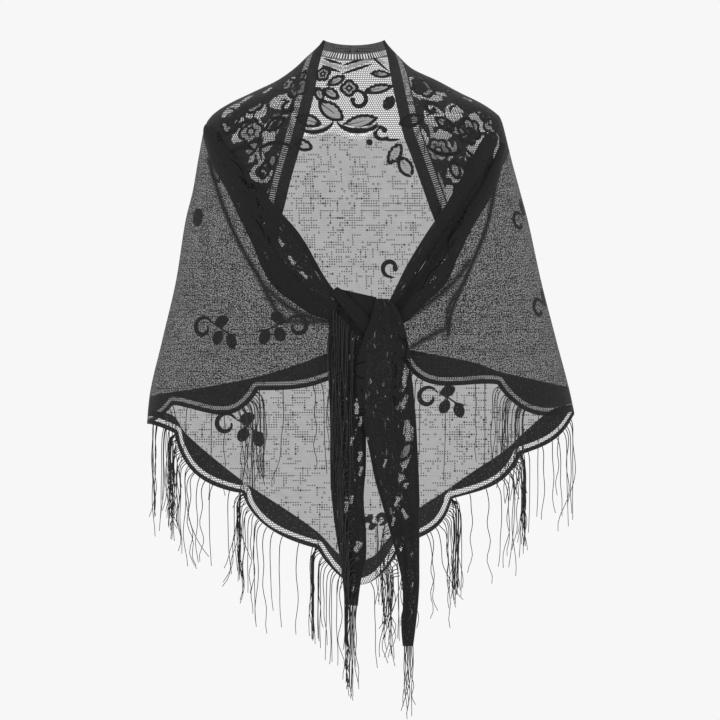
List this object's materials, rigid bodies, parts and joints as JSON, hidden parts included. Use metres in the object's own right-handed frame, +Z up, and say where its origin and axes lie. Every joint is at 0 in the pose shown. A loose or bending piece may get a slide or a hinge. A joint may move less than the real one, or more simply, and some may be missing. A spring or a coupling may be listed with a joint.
{
  "type": "triangular lace shawl",
  "caption": "Black sheer lace triangle shawl with scalloped hem and long fringe, worn round the shoulders and knotted in front.",
  "frame": {"origin": "middle between the shoulders, at the height where the cloth rests on them", "axes": "+Z up, -Y to the front where the knot is, +X to the right of the front view"},
  "size_m": [0.5958, 0.2733, 0.9107],
  "materials": {
    "lace_knit": "matt sheer knit",
    "fringe_yarn": "soft yarn with a slight sheen"
  },
  "bodies": {
    "root": {"back_panel": "lace_knit", "yoke_left": "lace_knit", "yoke_right": "lace_knit", "front_left": "lace_knit", "front_right": "lace_knit", "roll_left": "lace_knit", "roll_right_inner": "lace_knit", "roll_right_outer": "lace_knit", "knot_strap": "lace_knit", "knot_bridge": "lace_knit", "tail_left": "lace_knit", "tail_right": "lace_knit", "fringe_back": "fringe_yarn", "fringe_front_left": "fringe_yarn", "fringe_front_right": "fringe_yarn", "fringe_tail_left": "fringe_yarn", "fringe_tail_left_tip": "fringe_yarn", "fringe_tail_right": "fringe_yarn", "fringe_tail_right_tip": "fringe_yarn"}
  },
  "joints": []
}
